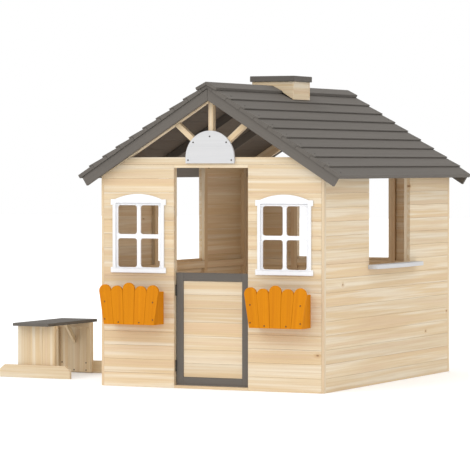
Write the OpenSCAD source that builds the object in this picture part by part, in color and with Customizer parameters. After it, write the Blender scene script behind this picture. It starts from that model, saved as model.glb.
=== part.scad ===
// Children's wooden playhouse with a half door, two open windows, planters and a separate bench.
// Millimetres, +Z up, the front faces -Y and the width runs along X.
// The origin is on the ground, at the middle of the underside of the doorway's threshold.

/* [House] */
// Width of the house over its side walls
house_w = 1184; // [1150:1:1250]
// Depth of the house over its front and back walls
house_d = 1612; // [1550:1:1700]
// Height of one wall board, which sets the height of the walls
board_h = 67.25; // [66:0.25:68]
// Height of the front wall at its outer corners, where the roof slope starts
corner_h = 1012; // [1000:1:1016]
// Thickness of the wall boards
clad_t = 15; // [12:1:16]
// Thickness of the battens behind the wall boards
batten_t = 18; // [16:1:24]
// Width of the battens
batten_w = 36; // [30:1:40]
// Width of the openings in the side and back walls
opening_w = 526; // [450:1:560]
// Height of the sill of those openings
sill_h = 588; // [560:1:600]

/* [Roof] */
// Pitch of the roof in degrees
pitch = 32; // [31:0.5:33]
// Depth of the rafters and barge boards, square to the slope
rafter_d = 48; // [40:1:52]
// Length of one roof slope from the eave to the ridge
slope_len = 812; // [790:1:830]
// Height of the step from one roof board to the next
tile_t = 8; // [6:1:10]
// Thickness of a roof board behind its lap, under the tapering part
board_base = 8.5; // [4:0.5:12]
// Visible width of one roof board
lap = 86; // [84:1:88]
// Visible width of the lowest roof board
eave_lap = 74; // [70:1:78]
// How far the roof stands out over the front and back walls
gable_overhang = 37; // [32:1:45]
// Width of each ridge cap board
cap_w = 48; // [42:1:60]

/* [Door] */
// Height of the doorway under its header
doorway_h = 1060; // [1040:1:1070]
// Height of the half door's leaf
door_h = 541; // [500:1:550]
// Thickness of the half door
door_t = 20; // [18:1:22]
// How far the door's face sits behind the wall's face
door_recess = 20; // [18:1:22]
// Opening angle drawn, for inspection
door_angle = 0; // [0:1:95]

/* [Windows] */
// Distance of each window and planter from the middle of the house
window_x = 388; // [380:1:392]
// Height of the underside of the window's sill band
window_z = 552; // [545:1:560]

/* [Planters] */
// Width of each planter box
planter_w = 272; // [250:1:280]
// Height of the planter's underside above the ground
planter_z = 306; // [290:1:320]
// Depth of each planter box behind its pickets
planter_d = 95; // [80:1:110]

/* [Bench] */
// Distance from the house's left wall to the middle of the bench
bench_gap = 534; // [480:1:600]
// Height of the top of the seat
seat_h = 277; // [264:1:290]
// Length of the seat, along Y
seat_len = 519; // [480:1:530]
// How far the bench is pushed away from the house, for inspection
bench_push = 0; // [0:1:400]

/* [Hidden] */
$fn = 48;

// Colours of the finishes
pine = [0.90, 0.80, 0.64];
grey = [0.46, 0.44, 0.42];
white = [0.96, 0.96, 0.97];
orange = [0.91, 0.57, 0.08];
steel = [0.20, 0.19, 0.18];

// Hairline left between neighbouring pieces of one node, so that each stays a piece of its own
gap = 0.4;
wall_t = clad_t + batten_t;
half_w = house_w / 2;
front_y = -wall_t / 2;
back_y = front_y + house_d;
mid_y = front_y + house_d / 2;
wall_rows = 16;
rows_h = wall_rows * board_h;
top_rail_h = 35;
beam_top = rows_h + top_rail_h;
groove = 0.8;
trim_t = 13;
trim_w = 24;
sheath_x = half_w - trim_t;
door_half = house_w / 6;
opening_half = opening_w / 2;
rail_h = 35;
rail_top = 573;

// Roof lines: the underside of the rafters and the plane the roof boards lie on
rafter_apex = corner_h + half_w * tan(pitch);
board_apex = rafter_apex + rafter_d / cos(pitch);
run = slope_len * cos(pitch);
rafter_t = 24;
barge_t = 18;
barge_inset = 10;
roof_y = front_y - gable_overhang;
roof_len = house_d + 2 * gable_overhang;
side_top = board_apex - half_w * tan(pitch) - 2;
tile_rows = 9;
overlap = 21.5;
tile_w = lap + overlap;
tile_lift = tile_t * tile_w / lap;
cap_t = 15;
front_lip = 8;

// A point of the right-hand slope: s up the slope from the eave, n out from the boards' plane
function slope_pt(s, n) = [
  run - s * cos(pitch) + n * sin(pitch),
  board_apex - run * tan(pitch) + s * sin(pitch) + n * cos(pitch)
];
// Height of the rafters' underside at a distance x from the middle
function under_rafter(x) = rafter_apex - x * tan(pitch);
// Lower edge of roof board i, measured up the slope
function tile_s(i) = i == 0 ? 0 : eave_lap + lap * (i - 1);

// Draws its children and their mirror image on the other side of the house
module both_sides() {
  children();
  mirror([1, 0, 0]) children();
}

// A flat outline in X and Z, carried along +Y from y0 over a length
module prism(y0, length) {
  translate([0, y0 + length, 0]) rotate([90, 0, 0]) linear_extrude(length) children();
}

// A screw whose head stands on z = 0 and whose shank runs down into the wood
module screw(length, head_r = 4, shank_r = 2) {
  head_h = 1.6;
  cylinder(h = head_h, r1 = head_r, r2 = head_r * 0.72);
  translate([0, 0, -length]) cylinder(h = length, r = shank_r, $fn = 16);
}

// A screw driven along +Y into a face at y
module front_screw(x, y, z, length) {
  translate([x, y, z]) rotate([90, 0, 0]) screw(length);
}

// ---- Walls. Each wall is drawn along X with its outer face on y = 0 and its inside at +Y ----

// One wall board from x0 to x1, grooved along the edges of its outer face
module wall_board(x0, x1, z0, h) {
  outline = [
    [0, groove], [0, h - groove - gap], [groove, h - gap], [clad_t, h - gap], [clad_t, 0], [groove, 0]
  ];
  translate([x0, 0, z0]) rotate([90, 0, 90]) linear_extrude(x1 - x0) polygon(outline);
}

// Full rows of boards from x0 to x1, up to the height top
module board_rows(x0, x1, top) {
  rows = ceil(top / board_h);
  for (i = [0 : rows - 1]) {
    wall_board(x0, x1, i * board_h, min(board_h, top - i * board_h));
  }
}

// An upright batten behind the boards, starting at x
module upright(x, h) {
  translate([x, clad_t, 0]) cube([batten_w, batten_t, h]);
}

// A level batten behind the boards, from x0 to x1 with its underside at z
module rail(x0, x1, z, h = rail_h) {
  translate([x0 + gap, clad_t, z]) cube([x1 - x0 - 2 * gap, batten_t, h]);
}

// The space under the rafters and below the beam's top, as a gable end fills it
module gable_space() {
  shoulder = (rafter_apex - beam_top) / tan(pitch);
  outline = [
    [-half_w, -1], [half_w, -1], [half_w, corner_h], [shoulder, beam_top], [-shoulder, beam_top],
    [-half_w, corner_h]
  ];
  prism(-1, wall_t + 2) polygon(outline);
}

// Places a wall drawn along X on each side of the house
module on_front() {
  translate([0, front_y, 0]) children();
}
module on_back() {
  translate([0, back_y, 0]) rotate([0, 0, 180]) children();
}
module on_right() {
  translate([half_w, mid_y, 0]) rotate([0, 0, 90]) children();
}
module on_left() {
  translate([-half_w, mid_y, 0]) rotate([0, 0, -90]) children();
}

// Window sizes
surround_w = 280;
ear_w = 300;
sill_band_h = 27;
ear_z = 880;
ear_h = 28;
crown_rise = 26;
crown_chord = 254;
surround_t = 8;
inner_w = 246;
inner_z0 = 574;
inner_z1 = 890;
pane_w = 105;
pane_h = 140;
pane_r = 13;
mullion = 19;
muntin = 20;
pane_z0 = 580;
grille_w = 254;
grille_t = 8;
cutout_clear = 1;

// The hole in the boards behind a window on the right half of the front
module window_cutout() {
  w = grille_w + 2 * cutout_clear;
  h = inner_z1 - inner_z0 + 8 + 2 * cutout_clear;
  translate([window_x - w / 2, -1, inner_z0 - 4 - cutout_clear]) cube([w, clad_t + 2, h]);
}

// Rows of the front boards that are notched round a window, below it and above it
notched_rows = [floor((inner_z0 - 5) / board_h), floor((inner_z1 + 5) / board_h)];

// Board rows beside the doorway that pass the test: notched ones or all the others
module front_rows(notched) {
  intersection() {
    difference() {
      for (i = [0 : wall_rows - 1]) {
        if ((len(search(i, notched_rows)) > 0) == notched) {
          wall_board(door_half, sheath_x - gap, i * board_h, board_h);
        }
      }
      window_cutout();
    }
    gable_space();
  }
}

module front_boards_right() color(pine) on_front() front_rows(false);
module front_boards_left() color(pine) mirror([1, 0, 0]) on_front() front_rows(false);
module window_boards_right() color(pine) on_front() front_rows(true);
module window_boards_left() color(pine) mirror([1, 0, 0]) on_front() front_rows(true);

// The topmost board of the front, which runs right across over the doorway
module front_top_board() color(pine) on_front() intersection() {
  wall_board(-sheath_x + gap, sheath_x - gap, rows_h, top_rail_h + gap);
  gable_space();
}

module door_header() color(pine) on_front() {
  translate([-door_half + gap, 0, doorway_h]) {
    cube([2 * (door_half - gap), clad_t, rows_h - gap - doorway_h]);
  }
}

module threshold() color(pine) on_front() {
  sill = 13;
  translate([-door_half + gap, 0, 0]) cube([2 * (door_half - gap), wall_t, sill]);
}

// Battens of half a gable wall whose middle opening reaches from the centre to x = edge
module gable_half_frame(edge) {
  outer = half_w - clad_t - batten_w;
  inner = edge + batten_w;
  upright(outer, corner_h - 2);
  upright(edge, beam_top - rail_h - gap);
  rail(inner, outer, 0);
  rail(inner, outer, rail_top - rail_h);
}

module front_frame() color(pine) on_front() {
  over_window = inner_z1 + 8;
  intersection() {
    union() {
      both_sides() gable_half_frame(door_half);
      both_sides() rail(door_half + batten_w, half_w - clad_t - batten_w, over_window);
      rail(-half_w, half_w, beam_top - rail_h);
    }
    gable_space();
  }
}

module back_boards() color(pine) on_back() {
  intersection() {
    difference() {
      union() {
        board_rows(-sheath_x + gap, sheath_x - gap, rows_h);
        wall_board(-sheath_x + gap, sheath_x - gap, rows_h, top_rail_h + gap);
      }
      translate([-opening_half, -1, sill_h]) cube([opening_w, clad_t + 2, doorway_h - sill_h]);
    }
    gable_space();
  }
}

module back_frame() color(pine) on_back() {
  intersection() {
    union() {
      both_sides() gable_half_frame(opening_half);
      rail(-opening_half, opening_half, rail_top - rail_h);
      rail(-opening_half, opening_half, 0);
      rail(-half_w, half_w, beam_top - rail_h);
    }
    gable_space();
  }
}

// Boards of one side wall, with its opening from the sill up to the roof
module side_boards() {
  half = house_d / 2 - trim_w - gap;
  difference() {
    board_rows(-half, half, side_top);
    translate([-opening_half, -1, sill_h]) cube([opening_w, clad_t + 2, side_top]);
  }
}

module left_boards() color(pine) on_left() side_boards();
module right_boards() color(pine) on_right() side_boards();

module side_frame() {
  end = house_d / 2 - wall_t - gap;
  for (side = [0, 1]) mirror([side, 0, 0]) {
    upright(end - batten_w, side_top);
    upright(opening_half, side_top);
    rail(opening_half + batten_w, end - batten_w, 0);
    rail(opening_half + batten_w, end - batten_w, rail_top - rail_h);
    rail(opening_half + batten_w, end - batten_w, side_top - rail_h);
  }
  rail(-opening_half, opening_half, 0);
  rail(-opening_half, opening_half, rail_top - rail_h);
}

module left_frame() color(pine) on_left() side_frame();
module right_frame() color(pine) on_right() side_frame();

// Upright laths that close the four corners
module corner_trims() color(pine) {
  for (y0 = [front_y, back_y - trim_w]) both_sides() intersection() {
    translate([sheath_x, y0, 0]) cube([trim_t, trim_w, corner_h + trim_t]);
    prism(y0 - 1, trim_w + 2) polygon([
      [0, -1], [half_w + 1, -1], [half_w + 1, under_rafter(half_w + 1)], [0, under_rafter(0)]
    ]);
  }
}

// ---- Gable ends and roof ----

// One rafter of the right-hand slope, from the ridge to the wall's outer face
module rafter_outline() {
  polygon([
    [gap / 2, under_rafter(gap / 2)], [half_w, under_rafter(half_w)],
    [half_w, under_rafter(half_w) + rafter_d / cos(pitch)], [gap / 2, board_apex - gap / 2 * tan(pitch)]
  ]);
}

module front_rafters() color(pine) both_sides() prism(front_y, rafter_t) rafter_outline();
module back_rafters() color(pine) both_sides() prism(back_y - rafter_t, rafter_t) rafter_outline();

// One barge board, cut square at the eave and plumb at the ridge
module barge_outline() {
  polygon([
    [gap / 2, under_rafter(gap / 2)], slope_pt(barge_inset, -rafter_d), slope_pt(barge_inset, 0),
    [gap / 2, board_apex - gap / 2 * tan(pitch)]
  ]);
}

module front_barge_boards() color(grey) both_sides() prism(roof_y, barge_t) barge_outline();
module back_barge_boards() color(grey) {
  both_sides() prism(roof_y + roof_len - barge_t, barge_t) barge_outline();
}

// Grey battens under the boards, between the side walls and the ridge
module roof_battens() color(grey) {
  batten_d = 40;
  near_ridge = 26;
  near_wall = half_w - wall_t - 20;
  drop = batten_d / cos(pitch);
  outline = [
    [near_ridge, board_apex - near_ridge * tan(pitch) - drop],
    [near_wall, board_apex - near_wall * tan(pitch) - drop],
    [near_wall, board_apex - near_wall * tan(pitch)],
    [near_ridge, board_apex - near_ridge * tan(pitch)]
  ];
  for (y = [mid_y - house_d / 6, mid_y + house_d / 6]) {
    both_sides() prism(y - barge_t / 2, barge_t) polygon(outline);
  }
}

// Height of roof board i's lap above the boards' plane, at s up the slope
function tile_under(i, s) = board_base + tile_lift * (1 - (s - tile_s(i)) / tile_w);

// Outline of roof board i: each lies flat, with a rebate that laps over the one below
module tile_outline(i) {
  s0 = tile_s(i);
  top = s0 + tile_w;
  if (i == 0) {
    polygon([
      slope_pt(0, 0), slope_pt(eave_lap + overlap, 0),
      slope_pt(eave_lap + overlap, board_base + tile_t - gap),
      slope_pt(eave_lap, board_base + tile_lift - gap), slope_pt(0, board_base + tile_lift - gap)
    ]);
  } else {
    step = s0 + overlap + gap;
    polygon([
      slope_pt(s0, tile_under(i, s0)), slope_pt(step, tile_under(i, step)), slope_pt(step, 0),
      slope_pt(top, 0), slope_pt(top, board_base + tile_t - gap),
      slope_pt(s0, tile_under(i, s0) + tile_t - gap)
    ]);
  }
}

module roof_side() {
  for (i = [0 : tile_rows - 1]) prism(roof_y - front_lip, roof_len + front_lip) tile_outline(i);
}
module roof_boards_right() color(grey) roof_side();
module roof_boards_left() color(grey) mirror([1, 0, 0]) roof_side();

// One screw near each end of every roof board, driven into the rafters
module roof_screws() color(steel) {
  up = 27;
  from_end = gable_overhang + 5;
  tilt = pitch - atan(tile_lift / tile_w);
  for (i = [0 : tile_rows - 1]) {
    lift = i == 0 ? board_base + tile_lift : tile_under(i, tile_s(i) + up) + tile_t;
    at = slope_pt(tile_s(i) + up, lift - gap);
    for (y = [roof_y + from_end, roof_y + roof_len - from_end]) {
      both_sides() translate([at[0], y, at[1]]) rotate([0, i == 0 ? pitch : tilt, 0]) screw(36);
    }
  }
}

// Chimney sizes
chimney_w = 227;
chimney_d = 204;
chimney_y = front_y + 804;
chimney_top = 1490;
chimney_t = 12;
chimney_cap_t = 28;
chimney_lip = 8;

// Height of the lapped boards' highest edges above the boards' plane, for what stands on the roof
tile_top = board_base + tile_lift + tile_t;

// Two cap boards that lie on the topmost roof boards and meet over the ridge, from y0 to y1, and the strip
// that fills the channel under them
module ridge_cap(y0, y1, strip_y0) {
  last = tile_rows - 1;
  low = slope_pt(slope_len - cap_w, tile_under(last, slope_len - cap_w) + tile_t);
  tilt = pitch - atan(tile_lift / tile_w);
  apex = low[1] + (low[0] - gap / 2) * tan(tilt);
  outline = [
    low, [low[0] + cap_t * sin(tilt), low[1] + cap_t * cos(tilt)],
    [gap / 2, apex + cap_t / cos(tilt)], [gap / 2, apex]
  ];
  both_sides() prism(y0, y1 - y0) polygon(outline);
  side = tile_s(last) + tile_w + gap;
  a = slope_pt(side, gap);
  b = slope_pt(side, tile_under(last, side) + tile_t - gap);
  prism(strip_y0, y1 - strip_y0) polygon([
    [0, board_apex + gap], a, b, [0, apex - gap], [-b[0], b[1]], [-a[0], a[1]]
  ]);
}

module ridge_cap_front() color(grey) {
  ridge_cap(roof_y - 2 * front_lip, chimney_y - chimney_d / 2 - 1, roof_y - front_lip);
}
module ridge_cap_back() color(grey) {
  y0 = chimney_y + chimney_d / 2 + 1;
  ridge_cap(y0, roof_y + roof_len, y0);
}

// Outline of the chimney seen from the front, its foot cut to sit over the ridge
module chimney_outline(half) {
  foot = board_apex + tile_top / cos(pitch);
  polygon([
    [-half, foot - half * tan(pitch)], [0, foot], [half, foot - half * tan(pitch)],
    [half, chimney_top], [-half, chimney_top]
  ]);
}

module chimney_walls() color(pine) {
  half = chimney_w / 2;
  y0 = chimney_y - chimney_d / 2;
  for (y = [y0, y0 + chimney_d - chimney_t]) prism(y, chimney_t) chimney_outline(half);
  both_sides() prism(y0 + chimney_t + gap, chimney_d - 2 * (chimney_t + gap)) intersection() {
    chimney_outline(half);
    translate([half - chimney_t, 0]) square([chimney_t, 2 * chimney_top]);
  }
}

module chimney_cap() color(grey) {
  w = chimney_w + 2 * chimney_lip;
  d = chimney_d + 2 * chimney_lip;
  edge = 2;
  prism(chimney_y - d / 2, d) polygon([
    [-w / 2, chimney_top], [w / 2, chimney_top], [w / 2, chimney_top + chimney_cap_t - edge],
    [w / 2 - edge, chimney_top + chimney_cap_t], [-w / 2 + edge, chimney_top + chimney_cap_t],
    [-w / 2, chimney_top + chimney_cap_t - edge]
  ]);
}

// Struts of the open front gable: a king post and two that fan out to the rafters
strut_w = 26;
strut_t = 30;
strut_angle = 41;

module gable_struts() color(pine) {
  clear = strut_w + 4;
  intersection() {
    prism(front_y, strut_t) polygon([
      [-half_w, beam_top], [half_w, beam_top], [half_w, under_rafter(half_w)], [0, under_rafter(0)],
      [-half_w, under_rafter(half_w)]
    ]);
    union() {
      translate([-strut_w / 2, front_y, beam_top]) cube([strut_w, strut_t, rafter_apex - beam_top]);
      both_sides() translate([0, front_y, beam_top]) rotate([0, -strut_angle, 0]) {
        translate([clear, 0, -strut_w / 2]) cube([half_w / 2, strut_t, strut_w]);
      }
    }
  }
}

// Half-round plate in front of the struts
plate_r = 129.5;
plate_t = 12;
plate_z = 1081;
plate_side = 27.5;

module gable_plate() color(white) prism(front_y - plate_t, plate_t) {
  translate([0, plate_z + plate_side]) intersection() {
    circle(plate_r, $fn = 96);
    translate([-plate_r, 0]) square([2 * plate_r, plate_r]);
  }
  translate([-plate_r, plate_z]) square([2 * plate_r, plate_side + 0.01]);
}

module plate_screws() color(steel) {
  face = front_y - plate_t;
  front_screw(0, face, plate_z + 129, plate_t + 12);
  both_sides() front_screw(88, face, plate_z + 101, plate_t + 12);
  both_sides() front_screw(115, face, plate_z + 16, plate_t + 12);
}

// ---- Windows ----

// A rectangle with round corners, from its lower left corner
module round_rect(w, h, r) {
  translate([r, 0]) square([w - 2 * r, h]);
  translate([0, r]) square([w, h - 2 * r]);
  for (x = [r, w - r], y = [r, h - r]) translate([x, y]) circle(r, $fn = 32);
}

// Shallow arch over the window's head
module crown() {
  half = crown_chord / 2;
  arc_r = (half * half + crown_rise * crown_rise) / (2 * crown_rise);
  intersection() {
    translate([0, crown_rise - arc_r]) circle(arc_r, $fn = 192);
    translate([-half, -1]) square([2 * half, crown_rise + 2]);
  }
}

// Moulded surround: pilasters, sill band, eared head and an arched crown
module window_surround() {
  head_top = ear_z + ear_h;
  prism(front_y - surround_t, surround_t) translate([window_x, 0]) difference() {
    union() {
      translate([-surround_w / 2, window_z]) square([surround_w, head_top - window_z]);
      translate([-ear_w / 2, window_z]) square([ear_w, sill_band_h]);
      translate([-ear_w / 2, ear_z]) square([ear_w, ear_h]);
      translate([0, head_top]) crown();
    }
    translate([-inner_w / 2, inner_z0]) square([inner_w, inner_z1 - inner_z0]);
  }
}

// Moulded grille with four open panes, held in the hole behind the surround
module window_grille() {
  step_x = pane_w + mullion;
  step_z = pane_h + muntin;
  prism(front_y, grille_t) translate([window_x, 0]) difference() {
    translate([-grille_w / 2, inner_z0 - 4]) square([grille_w, inner_z1 - inner_z0 + 8]);
    for (i = [0, 1], j = [0, 1]) {
      translate([i * step_x - pane_w - mullion / 2, pane_z0 + j * step_z - 1]) {
        round_rect(pane_w, pane_h, pane_r);
      }
    }
  }
}

module window_surround_right() color(white) window_surround();
module window_surround_left() color(white) mirror([1, 0, 0]) window_surround();
module window_grille_right() color(white) window_grille();
module window_grille_left() color(white) mirror([1, 0, 0]) window_grille();

// ---- Planters ----

planter_h = 158;
planter_t = 12;
planter_floor = 18;
pickets = 5;
picket_foot = 54.5;
picket_head = 64.5;
picket_y = front_y - planter_d - planter_t;
picket_h = [192, 187, 202, 187, 192];

// One tapering picket with a round head; n counts from the left
module picket(n) {
  place = n - (pickets - 1) / 2;
  r = picket_head / 2 - gap;
  foot = picket_foot / 2 - gap;
  shoulder = picket_h[n] - r;
  prism(picket_y, planter_t) {
    polygon([
      [place * picket_foot - foot, 0], [place * picket_foot + foot, 0],
      [place * picket_head + r, shoulder], [place * picket_head - r, shoulder]
    ]);
    translate([place * picket_head, shoulder]) circle(r);
  }
}

module planter_pickets(x) {
  translate([x, 0, planter_z]) for (n = [0 : pickets - 1]) picket(n);
}

// Open box: two sides, a floor and a back against the wall
module planter_box(x) {
  inner_w = planter_w - 2 * (planter_t + gap);
  translate([x, front_y - planter_d, planter_z]) {
    for (side = [0, 1]) mirror([side, 0, 0]) {
      translate([planter_w / 2 - planter_t, 0, 0]) cube([planter_t, planter_d, planter_h]);
    }
    translate([-inner_w / 2, 0, 0]) cube([inner_w, planter_d, planter_floor]);
    translate([-inner_w / 2, planter_d - planter_t, planter_floor + gap]) {
      cube([inner_w, planter_t, planter_h - planter_floor - gap]);
    }
  }
}

module planter_pickets_left() color(orange) planter_pickets(-window_x);
module planter_pickets_right() color(orange) planter_pickets(window_x);
module planter_box_left() color(orange) planter_box(-window_x);
module planter_box_right() color(orange) planter_box(window_x);

// Six screws through the pickets of each planter
module planter_screws() color(steel) {
  side_x = planter_w / 2 - planter_t / 2;
  floor_x = 56;
  length = planter_t + 24;
  both_sides() for (x = [window_x - side_x, window_x + side_x], z = [25, 109]) {
    front_screw(x, picket_y, planter_z + z, length);
  }
  both_sides() for (x = [window_x - floor_x, window_x + floor_x]) {
    front_screw(x, picket_y, planter_z + planter_floor / 2 + 2, length);
  }
}

// ---- Serving shelf outside the right-hand opening ----

shelf_t = 20;
shelf_reach = 60;
shelf_len = 620;
shelf_bow = 14;
shelf_y = mid_y + 32;

// Bow-fronted shelf: a straight part and a shallow arc in front of it
module serving_shelf() color(white) {
  arc_r = (shelf_len * shelf_len / 4 + shelf_bow * shelf_bow) / (2 * shelf_bow);
  translate([half_w, shelf_y, sill_h - shelf_t]) linear_extrude(shelf_t) intersection() {
    round_ended();
    translate([shelf_reach - arc_r, 0]) circle(arc_r, $fn = 256);
    translate([0, -shelf_len / 2]) square([shelf_reach, shelf_len]);
  }
}

// Outline of the shelf before its front is bowed, with round outer corners
module round_ended() {
  r = 44;
  translate([0, -shelf_len / 2]) square([shelf_reach - r, shelf_len]);
  translate([0, r - shelf_len / 2]) square([shelf_reach, shelf_len - 2 * r]);
  for (side = [-1, 1]) translate([shelf_reach - r, side * (shelf_len / 2 - r)]) circle(r);
}

// ---- Half door, drawn closed and turned about its hinge line ----

door_gap = 3.5;
door_z = 15;
door_half_w = door_half - door_gap;
door_y = front_y + door_recess;
stile = 37;
top_rail = 39;
bottom_rail = 38;
panel_t = 12;
panel_inset = 4;
knuckle_r = 3.6;
pin_r = 1.5;
pin_clear = 0.05;
leaf_t = 1.5;
leaf_w = 15;
hinge_x = -door_half + knuckle_r + 0.35;
hinge_y = door_y - knuckle_r - 0.4;
leaf_y = knuckle_r + 0.3;
jamb_leaf_x = -door_half - hinge_x;
door_leaf_x = -door_half_w - leaf_t - hinge_x;
hinge_len = 52;
hinge_z = [81, 445];

// Turns the door and what is fixed to it about the hinge pins
module swung() {
  translate([hinge_x, hinge_y, 0]) rotate([0, 0, -door_angle]) translate([-hinge_x, -hinge_y, 0]) {
    children();
  }
}

module door_frame() color(grey) swung() translate([0, door_y, door_z]) {
  inner = door_half_w - stile;
  both_sides() translate([inner, 0, 0]) cube([stile, door_t, door_h]);
  translate([-inner + gap, 0, 0]) cube([2 * (inner - gap), door_t, bottom_rail]);
  translate([-inner + gap, 0, door_h - top_rail]) cube([2 * (inner - gap), door_t, top_rail]);
}

module door_boards() color(pine) swung() {
  inner = door_half_w - stile - gap;
  height = door_h - top_rail - bottom_rail - 2 * gap;
  boards = 7;
  step = height / boards;
  for (i = [0 : boards - 1]) {
    translate([-inner, door_y + panel_inset, door_z + bottom_rail + gap + i * step]) {
      rotate([90, 0, 90]) linear_extrude(2 * inner) polygon([
        [0, groove], [0, step - groove - gap], [groove, step - gap], [panel_t, step - gap],
        [panel_t, 0], [groove, 0]
      ]);
    }
  }
}

// Knuckles number first, first + 2, ... of the five on one hinge, with a bore for the pin
module knuckles(first) {
  step = hinge_len / 5;
  for (i = [first : 2 : 4]) translate([hinge_x, hinge_y, i * step + gap / 2]) difference() {
    children();
    translate([0, 0, -1]) cylinder(h = step + 2, r = pin_r + pin_clear, $fn = 32);
  }
}

// One leaf in the gap beside the door: a plate, and knuckles with a tab each from the first number on
module hinge_leaf(x, first) {
  step = hinge_len / 5;
  translate([hinge_x + x, hinge_y + leaf_y, 0]) cube([leaf_t, leaf_w, hinge_len]);
  knuckles(first) {
    union() {
      cylinder(h = step - gap, r = knuckle_r, $fn = 32);
      translate([x, 0, 0]) cube([leaf_t, leaf_y + 0.5, step - gap]);
    }
  }
}

module jamb_hinge_leaves() color(steel) for (z = hinge_z) translate([0, 0, z]) {
  hinge_leaf(jamb_leaf_x, 0);
}

module door_hinge_leaves() color(steel) swung() for (z = hinge_z) translate([0, 0, z]) {
  hinge_leaf(door_leaf_x, 1);
}

module hinge_pins() color(steel) for (z = hinge_z) translate([hinge_x, hinge_y, z]) {
  head = 1.2;
  translate([0, 0, -head]) cylinder(h = head, r = 3, $fn = 32);
  cylinder(h = hinge_len, r = pin_r, $fn = 32);
  translate([0, 0, hinge_len]) cylinder(h = head, r = 3, $fn = 32);
}

// ---- Bench, which stands by itself to the left of the house ----

bench_x = -half_w - bench_gap;
bench_y = front_y + 499;
seat_w = 205;
seat_t = 15;
seat_shift = -3;
leg_boards = 3;
leg_board_w = 71;
leg_w = leg_boards * leg_board_w;
foot_h = 64;
foot_len = 407;
foot_t = 18;
foot_chamfer = [29, 23];
foot_out = 223;
under_seat = seat_h - seat_t;
cleat_h = 24;
cleat_t = 18;
brace_t = 22;
brace_w = 15;
brace_shift = 4;
brace_run = 112;
leg_z = 5;
upright_w = 24;
leg_face = foot_out - foot_t - clad_t;

// Places the bench beside the house, as far away as it has been pushed
module at_bench() {
  translate([bench_x - bench_push, bench_y, 0]) children();
}
// Draws its children at both ends of the bench
module both_ends() {
  children();
  mirror([0, 1, 0]) children();
}

module bench_seat() color(grey) at_bench() {
  edge = 2;
  translate([seat_shift - seat_w / 2, 0, under_seat]) rotate([90, 0, 90]) linear_extrude(seat_w) polygon([
    [-seat_len / 2, 0], [seat_len / 2, 0], [seat_len / 2, seat_t - edge],
    [seat_len / 2 - edge, seat_t], [-seat_len / 2 + edge, seat_t], [-seat_len / 2, seat_t - edge]
  ]);
}

module bench_legs() color(pine) at_bench() both_ends() {
  for (i = [0 : leg_boards - 1]) {
    outline = [
      [groove, 0], [leg_board_w - groove - gap, 0], [leg_board_w - gap, groove],
      [leg_board_w - gap, clad_t], [0, clad_t], [0, groove]
    ];
    translate([i * leg_board_w - leg_w / 2, leg_face + clad_t, leg_z]) mirror([0, 1, 0]) {
      linear_extrude(under_seat - leg_z) polygon(outline);
    }
  }
}

module bench_feet() color(pine) at_bench() both_ends() prism(leg_face + clad_t, foot_t) {
  half = foot_len / 2;
  polygon([
    [-half, 0], [half, 0], [half, foot_h - foot_chamfer[1]], [half - foot_chamfer[0], foot_h],
    [foot_chamfer[0] - half, foot_h], [-half, foot_h - foot_chamfer[1]]
  ]);
}

// A level cleat under the seat and an upright at each edge, inside every leg
module bench_cleats() color(pine) at_bench() both_ends() {
  translate([-leg_w / 2, leg_face - cleat_t, under_seat - cleat_h]) {
    cube([leg_w - gap, cleat_t, cleat_h]);
  }
  for (x = [-leg_w / 2, leg_w / 2 - gap - upright_w]) {
    translate([x, leg_face - cleat_t, leg_z]) {
      cube([upright_w, cleat_t, under_seat - cleat_h - gap - leg_z]);
    }
  }
}

// Slanting braces from under the seat to the legs, notched round the cleats
module bench_braces() color(pine) at_bench() both_ends() {
  long = brace_run;
  short = brace_run - brace_t * sqrt(2);
  difference() {
    translate([brace_shift - brace_w / 2, 0, 0]) rotate([90, 0, 90]) linear_extrude(brace_w) polygon([
      [leg_face - long, under_seat], [leg_face - short, under_seat],
      [leg_face, under_seat - short], [leg_face, under_seat - long]
    ]);
    translate([-brace_w, leg_face - cleat_t - gap, under_seat - cleat_h - gap]) {
      cube([2 * brace_w, cleat_t + 1, cleat_h + 1]);
    }
  }
}

// Screws through the legs into the feet, two rows at each end
module bench_screws() color(steel) at_bench() both_ends() {
  length = clad_t + 12;
  for (i = [-1, 0, 1], z = [14, 52]) {
    if (i != 0 || z < foot_h / 2) front_screw(i * leg_board_w, leg_face, z, length);
  }
}

threshold();
front_boards_left();
front_boards_right();
window_boards_left();
window_boards_right();
front_top_board();
door_header();
front_frame();
left_boards();
right_boards();
back_boards();
left_frame();
right_frame();
back_frame();
corner_trims();
front_rafters();
back_rafters();
gable_struts();
gable_plate();
plate_screws();
front_barge_boards();
back_barge_boards();
roof_boards_left();
roof_boards_right();
roof_battens();
roof_screws();
ridge_cap_front();
ridge_cap_back();
chimney_walls();
chimney_cap();
window_surround_left();
window_surround_right();
window_grille_left();
window_grille_right();
planter_box_left();
planter_box_right();
planter_pickets_left();
planter_pickets_right();
planter_screws();
serving_shelf();
door_frame();
door_boards();
door_hinge_leaves();
jamb_hinge_leaves();
hinge_pins();
bench_seat();
bench_legs();
bench_feet();
bench_cleats();
bench_braces();
bench_screws();
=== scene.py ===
# %% [markdown]
# # A wooden playhouse
# The house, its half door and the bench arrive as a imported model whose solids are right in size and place.
# This script turns them into wood, paint, plastic and steel. Everything is in metres: +Z is up, the front
# faces -Y and the width runs along X.

# %% Load the frame
import math

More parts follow.
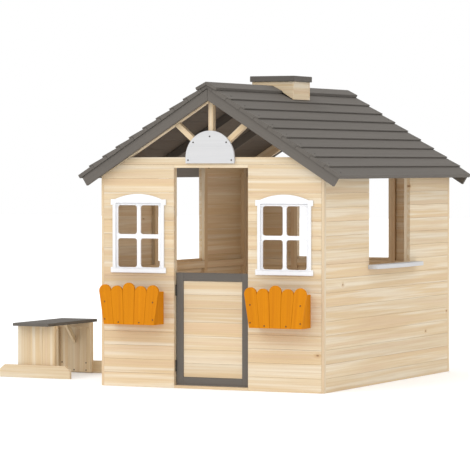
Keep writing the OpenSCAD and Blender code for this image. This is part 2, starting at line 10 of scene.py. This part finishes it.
import bmesh
import bpy
import numpy as np
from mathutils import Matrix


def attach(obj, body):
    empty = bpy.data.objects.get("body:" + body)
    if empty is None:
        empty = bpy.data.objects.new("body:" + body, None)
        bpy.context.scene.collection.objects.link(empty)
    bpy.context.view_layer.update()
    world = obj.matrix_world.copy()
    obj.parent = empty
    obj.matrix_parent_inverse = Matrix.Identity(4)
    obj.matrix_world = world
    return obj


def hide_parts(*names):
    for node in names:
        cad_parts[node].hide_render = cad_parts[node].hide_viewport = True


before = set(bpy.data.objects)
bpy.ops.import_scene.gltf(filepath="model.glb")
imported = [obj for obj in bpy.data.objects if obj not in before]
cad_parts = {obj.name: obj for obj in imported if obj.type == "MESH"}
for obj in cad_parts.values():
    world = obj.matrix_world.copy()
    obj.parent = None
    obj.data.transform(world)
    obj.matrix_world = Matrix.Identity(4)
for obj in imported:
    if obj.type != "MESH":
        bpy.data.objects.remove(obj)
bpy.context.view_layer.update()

# %% [markdown]
# ## Camera
# A house looks calm when its upright edges stay nearly parallel, so the camera stands far away behind a long
# lens, a little to the right of the front, at a child's eye height. The place is worked out from a point near
# the middle of the house, a direction and a distance.

# %% Camera
AIM = np.array([-0.263, 0.800, 0.718])
AZIMUTH = math.radians(25.64)
ELEVATION = math.radians(1.425)
DISTANCE = 14.43
LENS_MM = 217.6

away = np.array([
    math.sin(AZIMUTH) * math.cos(ELEVATION),
    -math.cos(AZIMUTH) * math.cos(ELEVATION),
    math.sin(ELEVATION),
])
camera = bpy.data.objects.new("camera", bpy.data.cameras.new("camera"))
camera.data.lens = LENS_MM
camera.data.clip_end = 100
camera.location = AIM + DISTANCE * away
camera.rotation_euler = (math.pi / 2 - ELEVATION, 0, AZIMUTH)
bpy.context.scene.collection.objects.link(camera)
bpy.context.scene.camera = camera
print("camera at", [round(value, 3) for value in camera.location])

# %% [markdown]
# ## Boards
# Real boards differ from a plain box in three ways. Their edges are eased, their grain runs along their own
# length, and no two are alike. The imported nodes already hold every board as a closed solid, so each node is
# copied, its loose triangles are merged into whole faces, and a Bevel modifier eases the edges. Then each
# solid's own directions are measured: the grain follows its longest edge, and its largest face is the face
# of the board. The position along those directions is stored on the vertices as an attribute, and the wood
# material reads it, so that the grain turns with every rafter and leg.

# %% Measuring solids
def read(collection, name, width, kind=np.float64):
    """One property of all items of a mesh as an array with `width` columns."""
    values = np.empty(len(collection) * width, dtype=kind)
    collection.foreach_get(name, values)
    return values.reshape(-1, width) if width > 1 else values


def solid_labels(mesh):
    """Number of the loose solid that each vertex belongs to: the lowest label spreads along the edges."""
    ends = read(mesh.edges, "vertices", 2, np.int32)
    label = np.arange(len(mesh.vertices))
    while True:
        lowest = np.minimum(label[ends[:, 0]], label[ends[:, 1]])
        spread = label.copy()
        np.minimum.at(spread, ends[:, 0], lowest)
        np.minimum.at(spread, ends[:, 1], lowest)
        if (spread == label).all():
            return np.unique(label, return_inverse=True)[1]
        label = spread


def last_of_each(labels, size):
    """Index of the largest item under each label: sorted by label, then by size, the last one counts."""
    order = np.lexsort((size, labels))
    is_last = np.append(np.diff(labels[order]) > 0, True)
    return order[is_last]


def unit(vectors):
    """Vectors divided by their lengths."""
    return vectors / np.linalg.norm(vectors, axis=-1, keepdims=True)


# %% Grain on every board
def store_grain(mesh, seed, level):
    """Stores for each vertex its place in the board that it belongs to, and one random number per board.

    The place is the dot product of the position with the board's three directions: along the longest edge,
    across the largest face, and through that face. A random shift per board makes every board its own.
    A wall board cut short beside a window is taller than it is long, so in walls only level edges count.
    """
    points = read(mesh.vertices, "co", 3)
    ends = read(mesh.edges, "vertices", 2, np.int32)
    label = solid_labels(mesh)
    runs = points[ends[:, 1]] - points[ends[:, 0]]
    length = np.linalg.norm(runs, axis=1)
    if level:
        length = length * (np.abs(runs[:, 2]) < 0.1 * length)
    longest = last_of_each(label[ends[:, 0]], length)
    starts = read(mesh.polygons, "loop_start", 1, np.int32)
    corner = read(mesh.loops, "vertex_index", 1, np.int32)
    largest = last_of_each(label[corner[starts]], read(mesh.polygons, "area", 1))
    along = unit(runs[longest])
    through = unit(read(mesh.polygons, "normal", 3)[largest])
    across = np.cross(through, along)
    count = len(along)
    middle = np.stack([np.bincount(label, points[:, axis]) for axis in range(3)], axis=1)
    middle /= np.bincount(label)[:, None]
    chance = np.random.default_rng(seed)
    shift = np.stack([
        chance.uniform(0, 40, count), chance.uniform(-0.035, 0.035, count), chance.uniform(0.02, 0.07, count)
    ], axis=1)
    offset = points - middle[label]
    place = np.stack([(offset * side[label]).sum(axis=1) for side in (along, across, through)], axis=1)
    grain = mesh.attributes.new("grain", "FLOAT_VECTOR", "POINT")
    grain.data.foreach_set("vector", (place + shift[label]).ravel())
    board = mesh.attributes.new("board", "FLOAT", "POINT")
    board.data.foreach_set("value", chance.random(count)[label])
    return count


# %% Copying a node as eased boards
STRAIGHT_ANGLE = math.radians(0.5)
SHARP_ANGLE = math.radians(30)
MERGE_DISTANCE = 1e-5
LEVEL_GRAIN = {
    "front_boards_left", "front_boards_right", "window_boards_left", "window_boards_right", "front_top_board",
    "left_boards", "right_boards", "back_boards", "door_boards", "chimney_walls",
}


def merged_mesh(node):
    """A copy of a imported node's mesh, with its loose triangles merged into whole faces."""
    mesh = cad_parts[node].data.copy()
    mesh.name = node
    shape = bmesh.new()
    shape.from_mesh(mesh)
    bmesh.ops.remove_doubles(shape, verts=shape.verts, dist=MERGE_DISTANCE)
    bmesh.ops.dissolve_limit(shape, angle_limit=STRAIGHT_ANGLE, verts=shape.verts, edges=shape.edges)
    shape.to_mesh(mesh)
    shape.free()
    return mesh


def add_piece(name, mesh, body, material):
    """Smooths a mesh between its sharp edges and adds it to the scene, riding on a body."""
    mesh.polygons.foreach_set("use_smooth", np.ones(len(mesh.polygons), dtype=bool))
    mesh.set_sharp_from_angle(angle=SHARP_ANGLE)
    mesh.materials.clear()
    mesh.materials.append(material)
    piece = bpy.data.objects.new(name, mesh)
    bpy.context.scene.collection.objects.link(piece)
    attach(piece, body)
    return piece


def eased_copy(node, body, material, ease, segments=2):
    """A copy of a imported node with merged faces, stored grain and edges eased by a Bevel modifier."""
    mesh = merged_mesh(node)
    count = store_grain(mesh, sum(node.encode()), node in LEVEL_GRAIN)
    piece = add_piece("look_" + node, mesh, body, material)
    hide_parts(node)
    bevel = piece.modifiers.new("eased_edges", "BEVEL")
    bevel.width = ease
    bevel.segments = segments
    bevel.limit_method = "ANGLE"
    bevel.angle_limit = SHARP_ANGLE
    bevel.use_clamp_overlap = True
    bevel.harden_normals = True
    print(f"{node}: {count} solids")


# %% [markdown]
# ## Shader maths
# A material is easier to read as a formula than as a web of nodes. One small class wraps a node's output,
# and its operators add Math nodes, so `1 - mask * 0.5` is written as it is read.

# %% Sockets that can be calculated with
class Value:
    """An output of a node, with operators that add Math nodes to its material."""

    def __init__(self, tree, socket):
        self.tree = tree
        self.socket = socket

    def node(self, kind, settings=None, output=0, **inputs):
        """Adds a node: its settings are set first, then its inputs by name (spaces written as _)."""
        return add_node(self.tree, kind, settings, output, **inputs)

    def maths(self, operation, *values):
        made = self.tree.nodes.new("ShaderNodeMath")
        made.operation = operation
        for socket, value in zip(made.inputs, values):
            connect(self.tree, socket, value)
        return Value(self.tree, made.outputs[0])

    def __add__(self, other): return self.maths("ADD", self, other)
    def __radd__(self, other): return self.maths("ADD", other, self)
    def __sub__(self, other): return self.maths("SUBTRACT", self, other)
    def __rsub__(self, other): return self.maths("SUBTRACT", other, self)
    def __mul__(self, other): return self.maths("MULTIPLY", self, other)
    def __rmul__(self, other): return self.maths("MULTIPLY", other, self)
    def __truediv__(self, other): return self.maths("DIVIDE", self, other)
    def __pow__(self, other): return self.maths("POWER", self, other)
    def root(self): return self.maths("SQRT", self)
    def sine(self): return self.maths("SINE", self)
    def above(self, other): return self.maths("GREATER_THAN", self, other)

    def fade(self, low, high):
        """0 below low and 1 above high, with a smooth step between them."""
        return self.node("ShaderNodeMapRange", {"interpolation_type": "SMOOTHSTEP"},
                         Value=self, From_Min=low, From_Max=high)


def connect(tree, socket, value):
    """Links a wrapped output to a socket, or sets the socket to a plain value."""
    if isinstance(value, Value):
        tree.links.new(value.socket, socket)
    else:
        socket.default_value = value


def add_node(tree, kind, settings=None, output=0, **inputs):
    """Adds a node of one kind, sets its settings, then its inputs, and wraps the chosen output."""
    made = tree.nodes.new(kind)
    for name, setting in (settings or {}).items():
        setattr(made, name, setting)
    for name, value in inputs.items():
        key = name.replace("_", " ")
        matches = [socket for socket in made.inputs if socket.name == key and socket.enabled]
        connect(tree, matches[0], value)
    outputs = [socket for socket in made.outputs if socket.enabled]
    return Value(tree, outputs[output])


class Finish:
    """A material with a Principled shader, and short ways to the patterns that its formulas use."""

    def __init__(self, name):
        self.material = bpy.data.materials.new(name)
        self.material.use_nodes = True
        self.tree = self.material.node_tree
        self.shader = self.tree.nodes["Principled BSDF"]

    def node(self, kind, settings=None, output=0, **inputs):
        return add_node(self.tree, kind, settings, output, **inputs)

    def attribute(self, name, output):
        """Output 0 is a colour, 1 a vector and 2 a number."""
        return self.node("ShaderNodeAttribute", {"attribute_name": name}, output)

    def vector(self, x, y, z):
        return self.node("ShaderNodeCombineXYZ", X=x, Y=y, Z=z)

    def parts(self, vector):
        """The three numbers of a vector."""
        made = self.node("ShaderNodeSeparateXYZ", Vector=vector)
        outputs = made.socket.node.outputs
        return [Value(self.tree, outputs[axis]) for axis in range(3)]

    def noise(self, vector, scale, detail=2.0, roughness=0.5):
        return self.node("ShaderNodeTexNoise", Vector=vector, Scale=scale, Detail=detail, Roughness=roughness)

    def mix(self, factor, first, second, blend="MIX"):
        """Mixes two colours, which may be sockets or plain red, green and blue."""
        made = self.tree.nodes.new("ShaderNodeMix")
        made.data_type = "RGBA"
        made.blend_type = blend
        for index, value in ((0, factor), (6, first), (7, second)):
            plain = not isinstance(value, Value) and index > 0
            connect(self.tree, made.inputs[index], (*value, 1) if plain else value)
        return Value(self.tree, made.outputs[2])

    def bump(self, height, distance, strength=1.0):
        """Feeds the shader's Normal with a height in units of the given distance in metres."""
        bumped = self.node("ShaderNodeBump", Height=height, Distance=distance, Strength=strength)
        connect(self.tree, self.shader.inputs["Normal"], bumped)

    def set(self, **inputs):
        for name, value in inputs.items():
            connect(self.tree, self.shader.inputs[name.replace("_", " ")], value)


print("shader helpers ready")

# %% [markdown]
# ## Wood
# A board is a slice of a tree, so the grain is worked out as the slice is: the tree's rings are circles round
# its heart, which lies somewhere behind the face of the board. Slow noise along the length bends the rings
# into the long flames of a sawn face, and the ends show arcs. Over this lie broad streaks of paler and pinker
# wood, fine fibres, and small knots which push the rings apart.

# %% Grain fields
RING_WIDTH = 0.0062
KNOT_CELL = (2.6, 11.0)
KNOT_CHANCE = 0.10


def wood_fields(finish, wave=0.006):
    """Rings, streaks, fibres and knots as numbers from 0 to 1, read from the stored place in the board."""
    grain = finish.attribute("grain", 1)
    along, across, through = finish.parts(grain)
    sway = finish.noise(finish.vector(along * 1.3, across * 4, through * 4), 1.0, 1.0) - 0.5
    cells = finish.vector(along * KNOT_CELL[0], across * KNOT_CELL[1], 0.0)
    cell = finish.node("ShaderNodeTexVoronoi", {"feature": "F1", "voronoi_dimensions": "2D"}, 0, Vector=cells,
                       Scale=1.0, Randomness=0.8)
    cell_colour = Value(finish.tree, cell.socket.node.outputs["Color"])
    chance = finish.parts(cell_colour)[0]
    cell_place = Value(finish.tree, cell.socket.node.outputs["Position"])
    centre = finish.parts(cell_place)
    knot_along = along - centre[0] / KNOT_CELL[0]
    knot_across = across - centre[1] / KNOT_CELL[1]
    knot_r = (knot_along * knot_along * 0.35 + knot_across * knot_across).root()
    chosen = chance.above(1 - KNOT_CHANCE)
    push = (1 - knot_r.fade(0.0, 0.028)) * chosen
    radius = (across * across + through * through).root() + sway * wave + push * 0.009
    phase = radius / RING_WIDTH
    rings = ((phase * 2 * math.pi).sine() * 0.5 + 0.5) ** 2.2
    streaks = finish.noise(finish.vector(along * 0.9, across * 34, through * 34), 1.0, 2.0, 0.5)
    fine = finish.noise(finish.vector(along * 2.0, across * 120, through * 120), 1.0, 2.0, 0.6)
    bands = finish.noise(finish.vector(along * 0.4, across * 16, through * 16), 1.0, 1.0)
    fibres = finish.noise(finish.vector(along * 22, across * 900, through * 900), 1.0, 2.0, 0.6)
    knots = (1 - knot_r.fade(0.0022, 0.0058)) * chosen
    halo = (1 - knot_r.fade(0.004, 0.016)) * chosen
    board = finish.attribute("board", 2)
    return {"rings": rings, "streaks": streaks, "fine": fine, "bands": bands, "fibres": fibres,
            "knots": knots, "halo": halo, "board": board}


# %% Natural wood
PALE = (0.680, 0.605, 0.480)
CREAM = (0.635, 0.520, 0.355)
HONEY = (0.600, 0.455, 0.275)
ROSE = (0.580, 0.420, 0.280)
LATE_RING = (0.480, 0.325, 0.180)
FIBRE_BROWN = (0.400, 0.255, 0.130)
KNOT_RIM = (0.430, 0.235, 0.085)
KNOT_HEART = (0.190, 0.090, 0.040)


def natural_wood(name):
    """Pale spruce under a clear matt stain: slow bands, streaks, rings, fibres and knots over each other."""
    finish = Finish(name)
    field = wood_fields(finish)
    colour = finish.mix(field["bands"].fade(0.36, 0.62), CREAM, HONEY)
    colour = finish.mix(field["streaks"].fade(0.46, 0.66) * 0.75, colour, PALE)
    colour = finish.mix((1 - field["streaks"].fade(0.34, 0.48)) * 0.50, colour, ROSE)
    colour = finish.mix((1 - field["fine"].fade(0.34, 0.52)) * 0.26, colour, LATE_RING)
    colour = finish.mix(field["rings"] * 0.18, colour, LATE_RING)
    colour = finish.mix(field["fibres"].fade(0.52, 0.80) * 0.16, colour, FIBRE_BROWN)
    colour = finish.mix(field["halo"] * 0.40, colour, KNOT_RIM)
    colour = finish.mix(field["knots"] * 0.75, colour, KNOT_HEART)
    tone = field["board"] * 0.10 + 0.95
    colour = finish.mix(1.0, colour, finish.vector(tone, tone, tone), "MULTIPLY")
    finish.set(Base_Color=colour, Roughness=field["rings"] * -0.06 + field["fibres"] * 0.14 + 0.58)
    finish.shader.inputs["Specular IOR Level"].default_value = 0.30
    finish.bump(field["rings"] * 0.35 + field["fibres"] * 0.5 - field["knots"] * 0.6, 0.0004, 0.55)
    return finish.material


spruce = natural_wood("natural_wood")
print("natural wood ready")

# %% [markdown]
# ## Paint and stain
# The roof, the door's frame and the seat wear a grey stain that lets the grain show faintly. The planters are
# painted orange and the plate and shelf white: opaque paint hides the colour of the wood, but the raised
# grain still catches the light under it, and the film is a little thinner on the hard rings.

# %% Painted wood
def painted_wood(name, colour, dark, roughness, show, relief, tint=0.08):
    """Paint over boards: the grain darkens the film by `show` and raises it by `relief` metres."""
    finish = Finish(name)
    field = wood_fields(finish)
    thin = field["streaks"].fade(0.36, 0.70) * 0.45
    film = field["rings"] * 0.30 + thin + field["fine"].fade(0.40, 0.66) * 0.25
    paint = finish.mix(film * show, colour, dark)
    paint = finish.mix(field["fibres"].fade(0.55, 0.85) * show, paint, dark)
    paint = finish.mix(field["knots"] * (show * 1.2), paint, dark)
    tone = field["board"] * tint + (1 - tint / 2)
    paint = finish.mix(1.0, paint, finish.vector(tone, tone, tone), "MULTIPLY")
    speckle = finish.noise(finish.attribute("grain", 1), 260.0, 2.0)
    finish.set(Base_Color=paint, Roughness=field["fibres"] * 0.12 + speckle * 0.10 + roughness)
    finish.shader.inputs["Specular IOR Level"].default_value = 0.12
    finish.bump(field["rings"] * 0.45 + field["fibres"] * 0.4 + speckle * 0.25, relief, 0.6)
    return finish.material


grey_stain = painted_wood("grey_stain", (0.125, 0.113, 0.100), (0.086, 0.077, 0.068),
                          roughness=0.60, show=0.40, relief=0.0004, tint=0.07)
orange_paint = painted_wood("orange_paint", (0.575, 0.205, 0.0016), (0.400, 0.112, 0.001),
                            roughness=0.55, show=0.46, relief=0.0003)
white_paint = painted_wood("white_paint", (0.545, 0.545, 0.550), (0.440, 0.440, 0.450),
                           roughness=0.50, show=0.40, relief=0.0004, tint=0.02)
print("paints ready")

# %% [markdown]
# ## Plastic and steel
# The windows are moulded in white plastic, which has a faint ripple from the mould and a satin shine. The
# screws and hinges are steel with a black coating that is slightly worn and uneven.

# %% Plastic and steel
def moulded_plastic(name, colour):
    finish = Finish(name)
    place = finish.node("ShaderNodeTexCoord", None, 3)
    ripple = finish.noise(place, 30.0, 2.0)
    grit = finish.noise(place, 900.0, 2.0)
    shade = (0.90 * colour[0], 0.91 * colour[1], 0.93 * colour[2])
    soft = finish.mix(ripple.fade(0.35, 0.65) * 0.25, colour, shade)
    finish.set(Base_Color=soft, Roughness=ripple * 0.12 + grit * 0.08 + 0.26)
    finish.bump(ripple * 0.6 + grit * 0.1, 0.0003, 0.4)
    return finish.material


def coated_steel(name, colour, worn):
    finish = Finish(name)
    place = finish.node("ShaderNodeTexCoord", None, 3)
    blotches = finish.noise(place, 120.0, 3.0)
    scratches = finish.noise(place, 1500.0, 3.0, 0.7)
    wear = (blotches * 0.6 + scratches * 0.4).fade(0.52, 0.66)
    finish.set(Base_Color=finish.mix(wear * 0.5, colour, worn), Roughness=wear * 0.2 + 0.36,
               Metallic=wear * 0.4 + 0.5)
    finish.bump(scratches, 0.0001, 0.5)
    return finish.material


plastic = moulded_plastic("window_plastic", (0.760, 0.765, 0.780))
steel = coated_steel("black_steel", (0.045, 0.038, 0.032), (0.13, 0.12, 0.11))
bronze = coated_steel("bronze_steel", (0.150, 0.060, 0.016), (0.26, 0.12, 0.04))
print("plastic and steel ready")

# %% [markdown]
# ## The house's boards
# Every wooden node is replaced with its eased copy. The list says which finish each one wears and how far its
# edges are rounded: sawn battens have crisp edges, and planed roof boards have softer ones.

# %% Wooden pieces
TIGHT = 0.0004
SAWN = 0.0010
PLANED = 0.0020

wooden = {
    ("house", "natural_wood", TIGHT): [
        "front_boards_left", "front_boards_right", "window_boards_left", "window_boards_right",
        "front_top_board", "door_header", "left_boards", "right_boards", "back_boards",
    ],
    ("house", "natural_wood", SAWN): [
        "threshold", "front_frame", "left_frame", "right_frame", "back_frame", "corner_trims",
    ],
    ("house", "natural_wood", PLANED): ["front_rafters", "back_rafters", "gable_struts", "chimney_walls"],
    ("house", "grey_painted_wood", PLANED): [
        "front_barge_boards", "back_barge_boards", "roof_boards_left", "roof_boards_right", "roof_battens",
        "ridge_cap_front", "ridge_cap_back", "chimney_cap",
    ],
    ("house", "white_painted_wood", PLANED): ["gable_plate", "serving_shelf"],
    ("house", "orange_painted_wood", SAWN): [
        "planter_pickets_left", "planter_pickets_right", "planter_box_left", "planter_box_right",
    ],
    ("door", "grey_painted_wood", TIGHT): ["door_frame"],
    ("door", "natural_wood", TIGHT): ["door_boards"],
    ("bench", "grey_painted_wood", PLANED): ["bench_seat"],
    ("bench", "natural_wood", PLANED): ["bench_legs", "bench_feet", "bench_cleats", "bench_braces"],
}
finish_of = {
    "natural_wood": spruce,
    "grey_painted_wood": grey_stain,
    "white_painted_wood": white_paint,
    "orange_painted_wood": orange_paint,
}
for (body, slot, ease), nodes in wooden.items():
    for node in nodes:
        eased_copy(node, body, finish_of[slot], ease)

# %% [markdown]
# ## Windows
# Each window is two mouldings: a surround with ears, a sill and a crown, and a grille with four panes set
# back in it. Both are copied with generously rounded edges, as a mould leaves them.

# %% Window mouldings
MOULD_ROUND = 0.0025
for side in ("left", "right"):
    for part in ("window_surround_", "window_grille_"):
        eased_copy(part + side, "house", plastic, MOULD_ROUND, segments=3)

# %% [markdown]
# The surround's face carries thin raised lines: two beads down each pilaster, one along the sill and one under
# the head. A bead is a half-round profile carried along a path on the face.

# %% Beads
BEAD_WIDTH = 0.0034
BEAD_HEIGHT = 0.0014
SUNK = 0.0004
OUT = np.array([0.0, -1.0, 0.0])
turns = np.linspace(0, math.pi, 9)
BEAD_PROFILE = np.stack([
    np.cos(turns) * BEAD_WIDTH / 2, np.sin(turns) * BEAD_HEIGHT - SUNK * (np.sin(turns) < 0.01)
], axis=1)


def closed_tube(rings):
    """Points and faces of a tube through the rings in the rows of a grid, with both ends closed."""
    index = np.arange(rings.shape[0] * rings.shape[1]).reshape(rings.shape[:2])
    here, there = index[:-1], index[1:]
    quads = np.stack([here, np.roll(here, -1, axis=1), np.roll(there, -1, axis=1), there], axis=-1)
    quads = quads.reshape(-1, 4)
    return rings.reshape(-1, 3), quads.tolist() + [index[0].tolist(), index[-1].tolist()]


def sweep(path, profile):
    """Points and faces of a profile carried along a path that lies flat against the front.

    point(i, j) = path[i] + profile[j, 0] * side[i] + profile[j, 1] * out, where side is square to the path.
    """
    ahead = unit(np.gradient(path, axis=0))
    side = np.cross(ahead, OUT)
    return closed_tube(path[:, None] + side[:, None] * profile[:, :1] + OUT * profile[:, 1:])


def joined_piece(name, parts, body, material):
    """One piece from several closed parts, each a pair of points and faces, with its faces turned outwards."""
    points, faces = [], []
    for part_points, part_faces in parts:
        start = sum(len(group) for group in points)
        points.append(part_points)
        faces += [[corner + start for corner in face] for face in part_faces]
    mesh = bpy.data.meshes.new(name)
    mesh.from_pydata(np.concatenate(points).tolist(), [], faces)
    shape = bmesh.new()
    shape.from_mesh(mesh)
    bmesh.ops.recalc_face_normals(shape, faces=shape.faces)
    shape.to_mesh(mesh)
    shape.free()
    return add_piece(name, mesh, body, material)


def straight(x0, z0, x1, z1):
    """A straight path of two points on the plane y = 0, from (x0, z0) to (x1, z1)."""
    return np.linspace([x0, 0, z0], [x1, 0, z1], 2)


# Heights are over the underside of the sill, and widths are from the middle of the window
SILL_TOP = 0.027
HEAD_LOW = 0.328
HALF_WIDTH = 0.146
PILASTER = (0.1265, 0.1360)
FROM_EDGE = 0.0035
STOPS_SHORT = 0.002
for side in ("left", "right"):
    corners = read(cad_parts["window_surround_" + side].data.vertices, "co", 3)
    low, high = corners.min(axis=0), corners.max(axis=0)
    face = np.array([(low[0] + high[0]) / 2, low[1], low[2]])
    levels = (SILL_TOP - FROM_EDGE, HEAD_LOW + FROM_EDGE)
    paths = [straight(-HALF_WIDTH, level, HALF_WIDTH, level) for level in levels]
    for x in PILASTER:
        paths += [straight(at, SILL_TOP + STOPS_SHORT, at, HEAD_LOW - STOPS_SHORT) for at in (-x, x)]
    parts = [sweep(path + face, BEAD_PROFILE) for path in paths]
    joined_piece("window_beads_" + side, parts, "house", plastic)
    print(f"window_beads_{side}: {len(parts)} beads")

# %% [markdown]
# ## Screws and hinges
# The hinges already have their real shape, so they only get their finish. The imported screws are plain: each one
# is measured and drawn anew as a turned screw with a domed head and a six-sided socket.

# %% Screws
HEAD_HEIGHT = 0.0016
SEGMENTS = 24
# Radius, height over the wood's face, and 1 where the ring is six-sided, from the socket's floor to the tip.
# Under the face the height is a share of the screw's depth.
SCREW_RINGS = np.array([
    [0.00001, 0.0006, 1], [0.0012, 0.0006, 1], [0.0014, 0.0016, 1], [0.0022, 0.0016, 0], [0.0031, 0.0013, 0],
    [0.0037, 0.0008, 0], [0.0040, 0.0002, 0], [0.0040, 0.0, 0], [0.0019, 0.0, 0], [0.0019, -0.9, 0],
    [0.00001, -1.0, 0],
])


def turned_screw(points):
    """A screw in place of the plain one whose vertices are given.

    Its axis is the direction in which the points spread most, and points out of the wood at the wide end.
    point(k, t) = foot + axis * height[k] + r[k] * (cos t * first + sin t * second); r is that of a hexagon,
    r * cos(30) / cos(t mod 60 - 30), in the socket.
    """
    middle = points.mean(axis=0)
    offset = points - middle
    axis = np.linalg.svd(offset, full_matrices=False)[2][0]
    height = offset @ axis
    radius = np.linalg.norm(offset - height[:, None] * axis, axis=1)
    axis = axis * np.sign(height[radius > 0.75 * radius.max()].sum())
    height = (points - middle) @ axis
    foot = middle + axis * (height.max() - HEAD_HEIGHT)
    depth = height.max() - HEAD_HEIGHT - height.min()
    first = unit(np.cross(axis, [0.3, 0.5, 0.8]))
    second = np.cross(axis, first)
    angle = np.arange(SEGMENTS) * 2 * math.pi / SEGMENTS
    hexagon = math.cos(math.pi / 6) / np.cos(angle % (math.pi / 3) - math.pi / 6)
    r = SCREW_RINGS[:, :1] * np.where(SCREW_RINGS[:, 2:] > 0, hexagon / hexagon.min(), 1.0)
    level = np.where(SCREW_RINGS[:, 1] < 0, SCREW_RINGS[:, 1] * depth, SCREW_RINGS[:, 1])
    around = np.cos(angle)[:, None] * first + np.sin(angle)[:, None] * second
    return closed_tube(foot + level[:, None, None] * axis + r[:, :, None] * around)


for node, body, metal in (("plate_screws", "house", steel), ("roof_screws", "house", steel),
                          ("planter_screws", "house", bronze), ("bench_screws", "bench", steel)):
    mesh = merged_mesh(node)
    label = solid_labels(mesh)
    corners = read(mesh.vertices, "co", 3)
    screws = [turned_screw(corners[label == number]) for number in range(label.max() + 1)]
    bpy.data.meshes.remove(mesh)
    piece = joined_piece("look_" + node, screws, body, metal)
    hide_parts(node)
    print(f"{node}: {len(screws)} screws")

# %% Hinges
for node in ("door_hinge_leaves", "jamb_hinge_leaves", "hinge_pins"):
    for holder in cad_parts[node].material_slots:
        holder.material = steel
print("hinges ready")

# %% [markdown]
# ## Studio
# The house stands on a wide pale floor that reaches the horizon, under a bright sky and two soft suns: one
# high at the front left, and a weaker one from the right that keeps the side wall readable. Suns light the
# whole floor evenly, so it looks the same from every side, and the floor glows a little so that it stays
# nearly white. A weak, warm, round lamp inside the house keeps the boards behind the openings from sinking
# into the dark. Floor and lamps belong to the studio and not to the house.

# %% Floor and lights
FLOOR_SIZE = 40.0
FLOOR_DROP = 0.0005
FLOOR_GLOW = 0.14
corners = np.array([[-1, -1, 0], [1, -1, 0], [1, 1, 0], [-1, 1, 0]]) * FLOOR_SIZE
floor_mesh = bpy.data.meshes.new("floor")
floor_mesh.from_pydata((corners - [0, 0, FLOOR_DROP]).tolist(), [], [(0, 1, 2, 3)])
floor_finish = Finish("floor")
floor_dust = floor_finish.noise(floor_finish.node("ShaderNodeTexCoord", None, 3), 1.5, 2.0)
floor_finish.set(Base_Color=floor_finish.mix(floor_dust * 0.2, (0.90, 0.90, 0.90), (0.88, 0.88, 0.88)),
                 Roughness=floor_dust * 0.05 + 0.85)
floor_finish.shader.inputs["Emission Color"].default_value = (1.0, 1.0, 1.0, 1.0)
floor_finish.shader.inputs["Emission Strength"].default_value = FLOOR_GLOW
floor_mesh.materials.append(floor_finish.material)
floor = bpy.data.objects.new("floor", floor_mesh)
bpy.context.scene.collection.objects.link(floor)

world = bpy.data.worlds.new("studio")
world.use_nodes = True
world.node_tree.nodes["Background"].inputs["Color"].default_value = (1.0, 1.0, 1.0, 1.0)
world.node_tree.nodes["Background"].inputs["Strength"].default_value = 1.0
bpy.context.scene.world = world


def soft_sun(name, azimuth, elevation, strength, spread):
    """Even light from one direction, as wide as a cloudy sky: angles in degrees, azimuth 0 is the front."""
    lamp = bpy.data.lights.new(name, "SUN")
    lamp.energy = strength
    lamp.angle = math.radians(spread)
    holder = bpy.data.objects.new(name, lamp)
    holder.rotation_euler = (math.radians(90 - elevation), 0, math.radians(azimuth))
    bpy.context.scene.collection.objects.link(holder)


soft_sun("key", azimuth=-32, elevation=48, strength=1.10, spread=60)
soft_sun("fill", azimuth=62, elevation=40, strength=0.50, spread=70)


def soft_lamp(name, place, colour, watts, radius):
    """A large round lamp that the camera doesn't see."""
    lamp = bpy.data.lights.new(name, "POINT")
    lamp.color = colour
    lamp.energy = watts
    lamp.shadow_soft_size = radius
    holder = bpy.data.objects.new(name, lamp)
    holder.location = place
    holder.visible_camera = False
    bpy.context.scene.collection.objects.link(holder)


soft_lamp("inside", (0.05, 0.80, 0.75), (1.0, 0.78, 0.62), watts=4.2, radius=0.25)
bpy.context.scene.view_settings.view_transform = "Standard"
print("studio ready")
